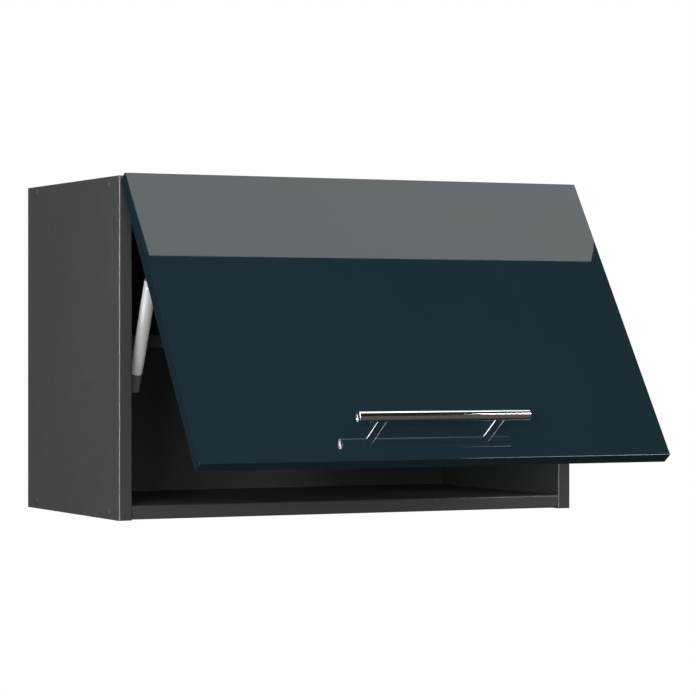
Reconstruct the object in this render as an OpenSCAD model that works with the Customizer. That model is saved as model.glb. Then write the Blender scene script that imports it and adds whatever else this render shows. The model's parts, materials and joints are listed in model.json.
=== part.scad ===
// Lift up wall cabinet: a board carcass hung on the wall, with one front hinged along its top edge
// and held open by a pair of struts. X runs along the wall, Y points into the wall and Z up.
// The origin lies on the wall, midway between the screws of the two wall plates.

/* [Carcass] */
// Width over the side panels
body_w = 600; // [500:10:900]
// Height of the side panels
body_h = 400; // [360:10:600]
// Depth from the wall to the side panels' front edges
body_d = 320; // [290:10:400]
// Thickness of the carcass boards
board_t = 16; // [15:1:18]
// Thickness of the hardboard back
back_t = 3; // [2.5:0.5:4]
// Thickness of the front edge bands
band_t = 2; // [0.5:0.5:3]
// Gap between edge bands that meet at a corner
band_gap = 0.1; // [0.05:0.05:0.3]
// Step of the top and bottom panels behind the side panels' front edges
panel_setback = 1; // [0:0.5:3]
// Step of the bottom panel above the side panels' lower ends
bottom_lift = 1; // [0:0.5:3]
// Margin of the back inside the carcass outline
back_margin = 1; // [0.5:0.5:3]

/* [Shelf] */
// Thickness of the shelf
shelf_t = 16; // [15:1:19]
// Height of the shelf's underside above the carcass's lower end
shelf_rise = 200; // [120:1:240]
// Distance from the carcass front to the shelf's front edge
shelf_setback = 82; // [76:1:120]
// Play at each end of the shelf and behind it
shelf_play = 0.5; // [0.3:0.1:1]
// Diameter of a shelf pin
shelf_pin_d = 5; // [4:0.5:6]
// Length of a shelf pin inside the side panel
shelf_pin_grip = 8; // [6:1:11]
// Length of a shelf pin under the shelf
shelf_pin_reach = 9; // [7:1:14]
// Distance of the shelf pins from the shelf's front and back
shelf_pin_inset = 30; // [20:1:60]

/* [Carcass screws] */
// Diameter of the long screw's shank
confirmat_d = 7; // [5:0.5:8]
// Diameter of the long screw's thread
confirmat_thread_d = 6.2; // [4:0.1:7]
// Length of the long screw under its head's top
confirmat_len = 50; // [40:1:60]
// Diameter of the long screw's head
confirmat_head_d = 10; // [9:0.5:12]
// Height of the long screw's head
confirmat_head_h = 4; // [3:0.5:5]
// Depth of the head below the side panel's face
confirmat_sink = 1; // [0.5:0.1:2]
// Distance of the front screws from the front edge
confirmat_front = 38; // [30:1:60]
// Distance of the rear screws from the wall
confirmat_rear = 32; // [25:1:60]
// Diameter of a screw cap
cap_d = 12; // [11:0.5:14]
// Thickness of a screw cap
cap_t = 0.8; // [0.5:0.1:1.5]
// Diameter of a back nail
nail_d = 1.6; // [1.2:0.1:2]
// Length of a back nail
nail_len = 18; // [14:1:25]
// Diameter of a back nail's head
nail_head_d = 4; // [3:0.5:5]
// Height of a back nail's head
nail_head_h = 0.8; // [0.5:0.1:1.2]
// Nails along the top and along the bottom
nails_across = 5; // [3:1:7]
// Nails up each side
nails_up = 3; // [2:1:5]
// Distance of the end nails of the top and bottom rows from the carcass sides
nail_margin_x = 80; // [70:1:120]
// Distance of the end nails of the side rows from the carcass ends
nail_margin_z = 60; // [40:1:100]

/* [Wall plates and hangers] */
// Distance from the carcass top down to the middle of the wall plates' screws
plate_drop = 70; // [68:1:120]
// Distance of a wall plate's middle from the carcass side
plate_inset = 38; // [38:1:42]
// Width of a wall plate
plate_w = 40; // [36:1:44]
// Thickness of a wall plate
plate_t = 2; // [1.5:0.1:2.5]
// Diameter of the wall plate's screw holes
plate_hole_d = 6.5; // [4.5:0.5:8]
// Distance between the two screw holes of one wall plate
plate_pitch = 28; // [20:1:32]
// Margin of the wall plate round its screw holes' centres
plate_margin = 8; // [7:1:10]
// Height of the wall plate's raised flange
flange_h = 14; // [12:1:18]
// Gap behind the raised flange
flange_gap = 6.5; // [5.5:0.1:8]
// Thickness of the hanger hook's lip
lip_t = 3; // [2:0.1:4]
// Height of the hanger hook's arm
hook_t = 3.5; // [3:0.1:5]
// Width of the hanger hook
hook_w = 8; // [6:0.5:9]
// Length of the hook inside its housing
hook_grip = 25; // [20:1:30]
// Thickness of the hanger housing
hanger_w = 17; // [15:1:20]
// Depth of the hanger housing
hanger_d = 41; // [38:1:50]
// Height of the hanger housing below its hook
hanger_below = 44; // [44:1:60]
// Height of the hanger housing above its hook
hanger_above = 9; // [6:1:10]
// Diameter of the hanger's adjusting screws
adjuster_d = 7; // [6:0.5:8]
// Distance from the hook down to the upper adjusting screw
adjuster_drop = 12; // [9:1:14]
// Distance between the two adjusting screws
adjuster_pitch = 16; // [10:1:20]
// Length of the hanger's adjusting screws
adjuster_len = 12; // [8:1:14]
// Diameter of the hanger's fixing screws
hanger_screw_d = 4; // [3:0.5:5]
// Distance of the first fixing screw behind the hanger housing's rear face
hanger_screw_back = 11; // [8:1:14]
// Distance of the first fixing screw below the hook
hanger_screw_drop = 20; // [16:1:24]
// Distance between the fixing screws along the housing
hanger_pitch_y = 11; // [8:1:12]
// Distance between the fixing screws down the housing
hanger_pitch_z = 18; // [12:1:20]

/* [Door] */
// Thickness of the door
door_t = 16; // [16:1:19]
// Radius of the door's long front edges
door_edge_r = 1.5; // [0.5:0.5:3]
// Gap round the door to the carcass outline
door_reveal = 1.5; // [1:0.5:3]
// Gap between the door and the carcass front
door_gap = 2; // [2:0.5:3]
// Angle at which the door is drawn open
open_angle = 34.4; // [0:0.1:80]
// Depth of the hinge axis inside the door's rear face
axis_depth = 7; // [6:0.5:8]
// Distance of the hinge axis below the door's top edge
axis_drop = 5; // [4:0.5:6]
// Diameter of a door bumper
bumper_d = 9; // [7:0.5:12]
// Height of a door bumper
bumper_h = 1.7; // [1:0.1:1.7]
// Distance of the bumpers above the door's lower edge
bumper_rise = 25; // [15:1:50]

/* [Handle] */
// Diameter of the bar
bar_d = 12; // [10:1:16]
// Length of the bar
bar_len = 217; // [180:1:320]
// Diameter of the posts
post_d = 10; // [7:0.5:10]
// Distance between the posts
post_pitch = 149; // [96:1:160]
// Distance of the bar's axis from the door's face
bar_standoff = 28; // [24:1:40]
// Height of the bar's axis above the door's lower edge
handle_rise = 40; // [30:1:80]
// Diameter of the handle screws
handle_screw_d = 4; // [3:0.5:5]
// Length of the handle screws inside the posts
handle_screw_grip = 14; // [8:1:18]
// Diameter of the handle screws' heads
handle_head_d = 8; // [7:0.5:10]
// Height of the handle screws' heads
handle_head_h = 2.2; // [1.5:0.1:3]

/* [Hinges] */
// Distance of a hinge's middle from the carcass side
hinge_inset = 80; // [74:1:120]
// Diameter of the cup
cup_d = 35; // [35:1:36]
// Depth of the cup in the door
cup_depth = 12.6; // [12.6:0.1:13]
// Wall of the cup
cup_wall = 0.8; // [0.6:0.1:0.9]
// Distance from the door's top edge to the cup's centre
cup_edge = 22.5; // [22.5:0.5:24]
// Width of the cup's flange
cup_flange_w = 56; // [54:1:62]
// Height of the cup's flange
cup_flange_h = 18; // [16:1:20]
// Thickness of the cup's flange
cup_flange_t = 1; // [0.8:0.1:1.2]
// Distance between the cup's two screws
cup_pitch = 48; // [46:1:52]
// Distance of the cup's screws below the cup's centre
cup_screw_drop = 6; // [5:0.5:8]
// Distance of the mounting plate's screws from the carcass front
plate_row = 37; // [33:1:45]
// Distance between the mounting plate's screws
plate_screws = 32; // [28:1:36]
// Diameter of the mounting plate's screws
plate_screw_d = 6; // [5:0.5:7]
// Diameter of the heads of the mounting plate's screws
plate_head_d = 9.5; // [8:0.5:11]
// Height of the heads of the mounting plate's screws
plate_head_h = 2; // [1.5:0.5:2.5]
// Length of the mounting plate's screws inside the top panel
plate_screw_grip = 11; // [8:1:12]
// Size of the mounting plate across the cabinet
mount_w = 50; // [46:1:56]
// Size of the mounting plate along the arm
mount_l = 18; // [16:1:22]
// Thickness of the mounting plate
mount_t = 2.5; // [2:0.5:3]
// Width of the mounting plate's ridge
ridge_w = 10; // [8:1:11]
// Height of the mounting plate's ridge below the plate
ridge_t = 5.5; // [5:0.5:6]
// Width of the hinge arm
arm_w = 16; // [15:1:20]
// Wall of the hinge arm
arm_wall = 1.5; // [1:0.1:1.6]
// Depth of the hinge arm's channel
arm_h = 10.5; // [10.5:0.5:12]
// Distance from the carcass front to the hinge arm's nose
arm_nose = 0.8; // [0.5:0.1:1.5]
// Length of the hinge arm
arm_len = 61; // [56:1:75]
// Diameter of the hinge's adjusting screws
arm_screw_d = 4; // [3:0.5:5]
// Diameter of the heads of the hinge's adjusting screws
arm_screw_head_d = 7; // [6:0.5:8]
// Height of the heads of the hinge's adjusting screws
arm_screw_head_h = 1.5; // [1:0.5:2]
// Length of the hinge's adjusting screws inside the ridge
arm_screw_grip = 3.5; // [2:0.5:4.5]
// Distance between the hinge's adjusting screws
arm_screw_pitch = 26; // [22:1:28]
// Diameter of the pivot in the arm
hinge_pin_d = 3; // [2.5:0.5:3]
// Distance of the pivot behind the carcass front
hinge_pin_back = 5; // [4.5:0.5:6]
// Distance of the pivot below the top panel
hinge_pin_drop = 7.5; // [7:0.5:8]
// Width of the link
link_w = 8; // [6:0.5:8]
// Thickness of the link
link_t = 2; // [1.5:0.1:2.2]
// Distance of the link's bend below the hinge axis
link_bend_drop = 12; // [11:0.5:12.5]
// Distance of the link's toe in front of the hinge axis
link_toe_reach = 2.6; // [2:0.1:3]
// Distance of the link's toe below the hinge axis
link_toe_drop = 4.95; // [4.5:0.05:5.5]
// Wall of the link round the pivot
link_eye_wall = 1.1; // [0.8:0.1:1.3]

/* [Struts] */
// Distance of a strut's middle from the carcass side
strut_inset = 34; // [33:0.5:40]
// Distance of the strut's lower pivot behind the carcass front
base_back = 40; // [38:1:42]
// Distance of the strut's lower pivot below the carcass top
base_drop = 244; // [240:1:250]
// Distance of the strut's upper pivot below the hinge axis along the door
head_drop = 70; // [68:1:72]
// Distance of the strut's upper pivot from the door's rear face
head_reach = 9; // [9:0.5:11]
// Diameter of the tube
tube_d = 15.5; // [15:0.5:17]
// Wall of the tube
tube_wall = 1; // [0.8:0.1:1.5]
// Distance from the lower pivot to the tube's lower end
tube_start = 15; // [14:0.5:16]
// Length of the tube
tube_len = 118; // [114:1:119]
// Thickness of the tube's floor
tube_floor = 2; // [1:0.5:2]
// Length of the collar inside the tube
collar_len = 9; // [6:0.5:9]
// Thickness of the collar above the tube
collar_lip = 1.5; // [1:0.5:1.5]
// Diameter of the rod
rod_d = 6; // [5:0.5:8]
// Distance from the lower pivot to the piston as drawn
piston_at = 58; // [57.5:0.5:59]
// Length of the piston
piston_len = 5; // [4:0.5:6]
// Width of the strut's end fittings
fitting_w = 13; // [11:0.5:14]
// Diameter of the lower fitting
foot_d = 14.5; // [13.5:0.5:15]
// Length of the lower fitting below its pivot
foot_below = 6; // [5.5:0.5:8]
// Height of the lower fitting's flats above its pivot
foot_flat = 8; // [7:0.5:10]
// Diameter of the upper fitting
head_d = 12; // [11:0.5:12.5]
// Length of the upper fitting below its pivot
head_len = 11; // [10:0.5:11]
// Diameter of the pin in the upper fitting
strut_pin_d = 6; // [5:0.5:7]
// Diameter of the stud that carries the lower fitting
stud_d = 8; // [6:0.5:9]
// Thickness of the strut brackets
bracket_t = 2; // [1.5:0.1:2]
// Width of the lower bracket
base_w = 22; // [18:1:26]
// Height of the lower bracket
base_h = 38; // [36:1:44]
// Distance between the lower bracket's screws
base_pitch = 26; // [24:1:30]
// Diameter of the bracket screws
bracket_screw_d = 3.5; // [3:0.5:4]
// Height of the bracket screws' heads
bracket_screw_head_h = 1.6; // [1.2:0.1:1.8]
// Length of the bracket screws in the board
bracket_screw_grip = 10; // [8:1:12]
// Height of the upper bracket along the door
strut_mount_h = 28; // [26:1:34]
// Distance between the upper bracket's screws
strut_mount_pitch = 16; // [14:1:18]
// Gap between the strut and the upper bracket's ear
ear_gap = 5.5; // [5:0.5:6]

/* [Fits] */
// Clearance of a pin or screw in its own hole, on the radius
pin_play = 0.05; // [0.02:0.01:0.1]
// Gap between pieces that move past each other
move_gap = 0.3; // [0.2:0.1:0.5]

/* [Hidden] */
$fn = 48;

// Carcass planes
half_w = body_w / 2;
inner_x = half_w - board_t;
front_y = -body_d;
board_y = -back_t;
panel_y = front_y + panel_setback;
top_z = plate_drop;
bottom_z = top_z - body_h;
under_top = top_z - board_t;
bottom_panel_z = bottom_z + bottom_lift;
confirmat_y = [front_y + confirmat_front, -confirmat_rear];
confirmat_z = [bottom_panel_z + board_t / 2, top_z - board_t / 2];
sides = [-1, 1];

// Shelf
shelf_front_y = front_y + shelf_setback;
shelf_back_y = board_y - shelf_play;
shelf_z = bottom_z + shelf_rise;
shelf_pin_y = [shelf_front_y + shelf_pin_inset, shelf_back_y - shelf_pin_inset];
shelf_pin_z = shelf_z - shelf_pin_d / 2 - pin_play;

// Wall plates and hangers
plate_x = half_w - plate_inset;
plate_half_h = plate_pitch / 2 + plate_margin;
flange_z = plate_half_h + flange_h;
hook_z = flange_z + move_gap;
hook_x = inner_x - hanger_w / 2;
lip_y = -(flange_gap - move_gap);
hanger_y = -(flange_gap + plate_t + 0.5);
notch_gap = 2;
adjuster_z = [hook_z - adjuster_drop, hook_z - adjuster_drop - adjuster_pitch];
hanger_screw_at = [for (i = [0, 1])
    [hanger_y - hanger_screw_back - i * hanger_pitch_y, hook_z - hanger_screw_drop - i * hanger_pitch_z]];

// Door, drawn closed round the hinge axis and then swung open
door_w = body_w - 2 * door_reveal;
door_h = body_h - 2 * door_reveal;
axis_y = front_y - door_gap - axis_depth;
axis_z = top_z - door_reveal - axis_drop;
face_y = axis_depth - door_t;
door_low_z = axis_drop - door_h;
cup_z = axis_drop - cup_edge;
cup_screw_z = cup_z - cup_screw_drop;
handle_z = door_low_z + handle_rise;
bar_y = face_y - bar_standoff;
bumper_z = door_low_z + bumper_rise;

// Hinges, drawn from the carcass front and the top panel's underside
hinge_x = half_w - hinge_inset;
arm_low_z = -mount_t - arm_h;
hinge_axis = [axis_y - front_y, axis_z - under_top];
link_points = [
    [hinge_pin_back, -hinge_pin_drop],
    hinge_axis - [0, link_bend_drop],
    hinge_axis - [link_toe_reach, link_toe_drop]
];
arm_screw_y = [plate_row - arm_screw_pitch / 2, plate_row + arm_screw_pitch / 2];
link_eye_r = hinge_pin_d / 2 + link_eye_wall;

// Struts, drawn from the lower pivot towards the upper one
strut_x = half_w - strut_inset;
base_at = [front_y + base_back, top_z - base_drop];
head_in_door = [axis_depth + head_reach, -head_drop];
head_at = [axis_y, axis_z] + swung(head_in_door);
strut_len = norm(head_at - base_at);
strut_lean = atan2(base_at[0] - head_at[0], head_at[1] - base_at[1]);
tube_end = tube_start + tube_len;
bore_r = tube_d / 2 - tube_wall;
fitting_x = fitting_w / 2;
ear_x = fitting_x + ear_gap;
stud_len = strut_inset - board_t - bracket_t - fitting_x - move_gap;
mount_screw_x = -(fitting_x + 6.5);

// Where a point of the closed door goes when the door is drawn open
function swung(p) = [
    p[0] * cos(open_angle) + p[1] * sin(open_angle),
    p[1] * cos(open_angle) - p[0] * sin(open_angle)
];

// Even steps from one value to another
function steps(from, to, count) = [for (i = [0 : count - 1]) from + (to - from) * i / (count - 1)];

// Box between two corners
module block(low, high) {
    translate(low) cube(high - low);
}

// Cylinder along X from one place to another
module rod_x(d, from, to) {
    translate([from, 0, 0]) rotate([0, 90, 0]) cylinder(d = d, h = to - from);
}

// Cylinder along Y from one place to another
module rod_y(d, from, to) {
    translate([0, to, 0]) rotate([90, 0, 0]) cylinder(d = d, h = to - from);
}

// Right hand pieces as drawn, left hand ones mirrored
module on_side(side) {
    if (side > 0) children();
    else mirror([1, 0, 0]) children();
}

// Pieces of the door, drawn closed from the hinge axis
module at_door() {
    translate([0, axis_y, axis_z]) rotate([-open_angle, 0, 0]) children();
}

module at_hinge(side) {
    on_side(side) translate([hinge_x, front_y, under_top]) children();
}

module at_cup(side) {
    on_side(side) translate([hinge_x, 0, cup_z]) children();
}

module at_strut(side) {
    on_side(side) translate([strut_x, base_at[0], base_at[1]]) rotate([strut_lean, 0, 0]) children();
}

module at_base(side) {
    on_side(side) translate([inner_x, base_at[0], base_at[1]]) children();
}

module at_strut_mount(side) {
    on_side(side) translate([strut_x, axis_depth, -head_drop]) children();
}

module at_nails() {
    for (x = steps(nail_margin_x - half_w, half_w - nail_margin_x, nails_across), z = confirmat_z)
        translate([x, 0, z]) children();
    for (side = sides, z = steps(bottom_z + nail_margin_z, top_z - nail_margin_z, nails_up))
        translate([side * (half_w - board_t / 2), 0, z]) children();
}

// Recess for a cross driver in a head whose top is at z = 0
module cross_recess(size) {
    for (turn = [0, 90]) rotate([0, 0, turn])
        translate([-size / 2, -size / 8, -size / 5]) cube([size, size / 4, size / 5 + 0.1]);
}

// Screw along -Z, its head standing on z = 0
module screw(head_d, head_h, shank_d, shank_len) {
    difference() {
        union() {
            cylinder(d = head_d, h = head_h);
            translate([0, 0, -shank_len]) cylinder(d = shank_d, h = shank_len + 0.1);
        }
        translate([0, 0, head_h]) cross_recess(head_d * 0.6);
    }
}

// --- carcass ---

module confirmat_holes() {
    for (y = confirmat_y, z = confirmat_z) translate([0, y, z]) {
        rod_x(confirmat_d + 2 * pin_play, inner_x - 1, half_w);
        rod_x(confirmat_head_d + 2 * pin_play, half_w - confirmat_sink - confirmat_head_h, half_w + 1);
    }
}

module side_panel(side) {
    color("dimgray") on_side(side) difference() {
        block([inner_x, front_y + band_t, bottom_z], [half_w, board_y, top_z]);
        confirmat_holes();
        for (y = shelf_pin_y) translate([0, y, shelf_pin_z])
            rod_x(shelf_pin_d + 2 * pin_play, inner_x - 1, inner_x + shelf_pin_grip + pin_play);
        for (at = hanger_screw_at) translate([0, at[0], at[1]])
            rod_x(hanger_screw_d + 2 * pin_play, inner_x - 1, inner_x + bracket_screw_grip + pin_play);
        for (step = [-1, 1]) translate([0, base_at[0], base_at[1] + step * base_pitch / 2])
            rod_x(bracket_screw_d + 2 * pin_play, inner_x - 1, inner_x + bracket_screw_grip + pin_play);
        back_nail_holes();
    }
}

module panel_end_holes() {
    for (side = sides, y = confirmat_y) on_side(side) translate([0, y, 0])
        rod_x(confirmat_thread_d + 2 * pin_play, half_w - confirmat_sink - confirmat_len - pin_play, inner_x + 1);
}

module top_panel() {
    color("dimgray") difference() {
        block([-inner_x, panel_y + band_t, under_top], [inner_x, board_y, top_z]);
        translate([0, 0, confirmat_z[1]]) panel_end_holes();
        for (side = sides, step = [-1, 1]) at_hinge(side)
            translate([step * plate_screws / 2, plate_row, -1])
                cylinder(d = plate_screw_d + 2 * pin_play, h = 1 + plate_screw_grip + pin_play);
        back_nail_holes();
    }
}

module bottom_panel() {
    color("dimgray") difference() {
        block([-inner_x, panel_y + band_t, bottom_panel_z], [inner_x, board_y, bottom_panel_z + board_t]);
        translate([0, 0, confirmat_z[0]]) panel_end_holes();
        back_nail_holes();
    }
}

module edge_bands() {
    color("gray") {
        for (side = sides) on_side(side)
            block([inner_x, front_y, bottom_z], [half_w, front_y + band_t, top_z]);
        for (z = [bottom_panel_z, under_top])
            block([band_gap - inner_x, panel_y, z], [inner_x - band_gap, panel_y + band_t, z + board_t]);
    }
}

module back_nail_holes() {
    at_nails() rod_y(nail_d + 2 * pin_play, -nail_len - pin_play, 1);
}

module back_panel() {
    color("lightgray") difference() {
        block([back_margin - half_w, board_y, bottom_z + back_margin],
            [half_w - back_margin, 0, top_z - back_margin]);
        for (side = sides) on_side(side)
            block([plate_x - plate_w / 2 - notch_gap, board_y - 1, -plate_half_h - notch_gap],
                [inner_x, 1, top_z]);
        back_nail_holes();
        at_nails() rod_y(nail_head_d + 2 * pin_play, -nail_head_h, 1);
    }
}

module back_nails() {
    color("silver") at_nails() {
        rod_y(nail_d, -nail_len, -nail_head_h / 2);
        rod_y(nail_head_d, -nail_head_h, 0);
    }
}

module shelf() {
    color("dimgray") block([shelf_play - inner_x, shelf_front_y + band_t, shelf_z],
        [inner_x - shelf_play, shelf_back_y, shelf_z + shelf_t]);
}

module shelf_edge_band() {
    color("gray") block([shelf_play - inner_x, shelf_front_y, shelf_z],
        [inner_x - shelf_play, shelf_front_y + band_t, shelf_z + shelf_t]);
}

module shelf_pins() {
    color("silver") for (side = sides, y = shelf_pin_y) on_side(side) translate([0, y, shelf_pin_z])
        rod_x(shelf_pin_d, inner_x - shelf_pin_reach, inner_x + shelf_pin_grip);
}

module confirmat_screws() {
    color("silver") for (side = sides, y = confirmat_y, z = confirmat_z)
        on_side(side) translate([half_w - confirmat_sink, y, z]) {
            rod_x(confirmat_head_d, -confirmat_head_h, 0);
            rod_x(confirmat_d, confirmat_sink - board_t, -confirmat_head_h / 2);
            rod_x(confirmat_thread_d, -confirmat_len, confirmat_sink - board_t + 0.1);
        }
}

module screw_caps() {
    color("dimgray") for (side = sides, y = confirmat_y, z = confirmat_z)
        on_side(side) translate([half_w, y, z]) {
            rod_x(cap_d, 0, cap_t);
            rod_x(confirmat_head_d, -confirmat_sink, cap_t / 2);
        }
}

// --- wall plates and hangers ---

module wall_plate(side) {
    color("silver") on_side(side) translate([plate_x, 0, 0]) difference() {
        union() {
            block([-plate_w / 2, -plate_t, -plate_half_h], [plate_w / 2, 0, plate_half_h]);
            block([-plate_w / 2, -flange_gap - plate_t, plate_half_h - plate_t], [plate_w / 2, 0, plate_half_h]);
            block([-plate_w / 2, -flange_gap - plate_t, plate_half_h - plate_t],
                [plate_w / 2, -flange_gap, flange_z]);
        }
        for (step = [-1, 1]) translate([0, 0, step * plate_pitch / 2])
            rod_y(plate_hole_d, -plate_t - 1, 1);
    }
}

module hanger_hook(side) {
    color("silver") on_side(side) translate([hook_x, 0, 0]) {
        block([-hook_w / 2, hanger_y - hook_grip, hook_z], [hook_w / 2, lip_y + lip_t, hook_z + hook_t]);
        block([-hook_w / 2, lip_y, plate_half_h + move_gap], [hook_w / 2, lip_y + lip_t, hook_z + hook_t]);
    }
}

module hanger_housing(side) {
    color("whitesmoke") on_side(side) difference() {
        block([inner_x - hanger_w, hanger_y - hanger_d, hook_z - hanger_below],
            [inner_x, hanger_y, hook_z + hook_t + hanger_above]);
        translate([hook_x, 0, 0])
            block([-hook_w / 2 - pin_play, hanger_y - hook_grip - pin_play, hook_z - pin_play],
                [hook_w / 2 + pin_play, hanger_y + 1, hook_z + hook_t + pin_play]);
        for (z = adjuster_z) translate([hook_x, 0, z])
            rod_y(adjuster_d + 2 * pin_play, hanger_y - hanger_d - 1, hanger_y - hanger_d + adjuster_len + pin_play);
        for (at = hanger_screw_at) translate([0, at[0], at[1]])
            rod_x(hanger_screw_d + 2 * pin_play, inner_x - hanger_w - 1, inner_x + 1);
    }
}

module hanger_adjusters() {
    color("silver") for (side = sides, z = adjuster_z)
        on_side(side) translate([hook_x, hanger_y - hanger_d, z]) difference() {
            rod_y(adjuster_d, 0, adjuster_len);
            rotate([90, 0, 0]) cross_recess(adjuster_d * 0.6);
        }
}

module hanger_screws() {
    color("silver") for (side = sides, at = hanger_screw_at)
        on_side(side) translate([inner_x - hanger_w, at[0], at[1]]) rotate([0, -90, 0])
            screw(2 * hanger_screw_d, hanger_screw_d / 2, hanger_screw_d, hanger_w + bracket_screw_grip);
}

// --- hinges ---

module hinge_plate(side) {
    color("silver") at_hinge(side) difference() {
        union() {
            block([-mount_w / 2, plate_row - mount_l / 2, -mount_t], [mount_w / 2, plate_row + mount_l / 2, 0]);
            block([-ridge_w / 2, plate_row - mount_l, -mount_t - ridge_t],
                [ridge_w / 2, plate_row + mount_l, -mount_t + 0.5]);
        }
        for (step = [-1, 1]) translate([step * plate_screws / 2, plate_row, -mount_t - 1])
            cylinder(d = plate_screw_d + 2 * pin_play, h = mount_t + 2);
        for (y = arm_screw_y) translate([0, y, -mount_t - ridge_t - 1])
            cylinder(d = arm_screw_d + 2 * pin_play, h = 1 + arm_screw_grip + pin_play);
    }
}

module hinge_plate_screws() {
    color("silver") for (side = sides, step = [-1, 1]) at_hinge(side)
        translate([step * plate_screws / 2, plate_row, -mount_t]) mirror([0, 0, 1])
            screw(plate_head_d, plate_head_h, plate_screw_d, mount_t + plate_screw_grip);
}

module hinge_arm(side) {
    color("silver") at_hinge(side) difference() {
        block([-arm_w / 2, arm_nose, arm_low_z], [arm_w / 2, arm_nose + arm_len, -mount_t]);
        block([-arm_w / 2 + arm_wall, arm_nose - 1, arm_low_z + arm_wall],
            [arm_w / 2 - arm_wall, arm_nose + arm_len + 1, -mount_t + 1]);
        translate([0, hinge_pin_back, -hinge_pin_drop])
            rod_x(hinge_pin_d + 2 * pin_play, -arm_w / 2 - 1, arm_w / 2 + 1);
        for (y = arm_screw_y) translate([0, y, arm_low_z - 1])
            cylinder(d = arm_screw_d + 2 * pin_play, h = arm_wall + 2);
    }
}

module hinge_adjusters() {
    color("silver") for (side = sides, y = arm_screw_y) at_hinge(side)
        translate([0, y, arm_low_z]) mirror([0, 0, 1])
            screw(arm_screw_head_d, arm_screw_head_h, arm_screw_d, arm_h - ridge_t + arm_screw_grip);
}

module hinge_pins() {
    color("silver") for (side = sides) at_hinge(side) translate([0, hinge_pin_back, -hinge_pin_drop])
        rod_x(hinge_pin_d, -arm_w / 2, arm_w / 2);
}

// Flat outline of the bent link: straight stretches with round ends
module link_outline() {
    for (i = [0 : len(link_points) - 2]) {
        run = link_points[i + 1] - link_points[i];
        translate(link_points[i]) rotate(atan2(run[1], run[0]))
            translate([0, -link_t / 2]) square([norm(run), link_t]);
    }
    for (i = [1 : len(link_points) - 1]) translate(link_points[i]) circle(d = link_t);
    translate(link_points[0]) circle(r = link_eye_r);
}

module hinge_link(side) {
    color("silver") at_hinge(side) difference() {
        translate([-link_w / 2, 0, 0]) rotate([90, 0, 90]) linear_extrude(height = link_w) link_outline();
        translate([0, link_points[0][0], link_points[0][1]])
            rod_x(hinge_pin_d + 2 * pin_play, -link_w, link_w);
    }
}

module hinge_cup(side) {
    color("silver") at_door() at_cup(side) difference() {
        union() {
            rod_y(cup_d, axis_depth - cup_depth, axis_depth + cup_flange_t / 2);
            block([-cup_flange_w / 2, axis_depth, -(cup_flange_h - 4)],
                [cup_flange_w / 2, axis_depth + cup_flange_t, 4]);
        }
        rod_y(cup_d - 2 * cup_wall, axis_depth - cup_depth + cup_wall, axis_depth + cup_flange_t + 1);
        for (step = [-1, 1]) translate([step * cup_pitch / 2, 0, -cup_screw_drop])
            rod_y(bracket_screw_d + 2 * pin_play, axis_depth - 1, axis_depth + cup_flange_t + 1);
    }
}

module hinge_cup_screws() {
    color("silver") at_door() for (side = sides, step = [-1, 1]) at_cup(side)
        translate([step * cup_pitch / 2, axis_depth + cup_flange_t, -cup_screw_drop]) rotate([-90, 0, 0])
            screw(2 * bracket_screw_d, bracket_screw_head_h, bracket_screw_d, cup_flange_t + bracket_screw_grip);
}

// --- struts ---

module strut_base(side) {
    color("silver") at_base(side) difference() {
        block([-bracket_t, -base_w / 2, -base_h / 2], [0, base_w / 2, base_h / 2]);
        for (step = [-1, 1]) translate([0, 0, step * base_pitch / 2])
            rod_x(bracket_screw_d + 2 * pin_play, -bracket_t - 1, 1);
    }
}

module strut_base_studs() {
    color("silver") for (side = sides) at_base(side) {
        rod_x(stud_d, -bracket_t - stud_len, -bracket_t);
        rod_x(stud_d * 1.5, -bracket_t - stud_len / 3, -bracket_t);
    }
}

module strut_base_screws() {
    color("silver") for (side = sides, step = [-1, 1]) at_base(side)
        translate([-bracket_t, 0, step * base_pitch / 2]) rotate([0, -90, 0])
            screw(2 * bracket_screw_d, bracket_screw_head_h, bracket_screw_d, bracket_t + bracket_screw_grip);
}

module strut_foot(side) {
    color("gray") at_strut(side) difference() {
        translate([0, 0, -foot_below]) cylinder(d = foot_d, h = foot_below + tube_start);
        for (way = sides) on_side(way)
            block([fitting_x, -foot_d, -foot_below - 1], [foot_d, foot_d, foot_flat]);
        rod_x(stud_d + 1, fitting_x - stud_d * 0.6, fitting_x + 1);
    }
}

module strut_tube(side) {
    color("white") at_strut(side) difference() {
        translate([0, 0, tube_start]) cylinder(d = tube_d, h = tube_len);
        translate([0, 0, tube_start + tube_floor]) cylinder(r = bore_r, h = tube_len);
    }
}

module strut_collar(side) {
    color("dimgray") at_strut(side) difference() {
        union() {
            translate([0, 0, tube_end - collar_len]) cylinder(r = bore_r - pin_play, h = collar_len + 0.5);
            translate([0, 0, tube_end]) cylinder(d = tube_d, h = collar_lip);
        }
        translate([0, 0, tube_end - collar_len - 1])
            cylinder(d = rod_d + 2 * pin_play, h = collar_len + collar_lip + 2);
    }
}

module strut_rod(side) {
    color("silver") at_strut(side) {
        translate([0, 0, piston_at]) cylinder(d = rod_d, h = strut_len - head_len / 2 - piston_at);
        translate([0, 0, piston_at]) cylinder(r = bore_r - pin_play, h = piston_len);
    }
}

module strut_head(side) {
    color("gray") at_strut(side) translate([0, 0, strut_len]) difference() {
        union() {
            rod_x(head_d, -fitting_x, fitting_x);
            translate([0, 0, -head_len]) cylinder(d = head_d - 2, h = head_len);
        }
        rod_x(strut_pin_d + 2 * pin_play, -fitting_x - 1, fitting_x + 1);
        translate([0, 0, -head_len - 1]) cylinder(d = rod_d + 2 * pin_play, h = head_len / 2 + 1 + pin_play);
    }
}

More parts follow.
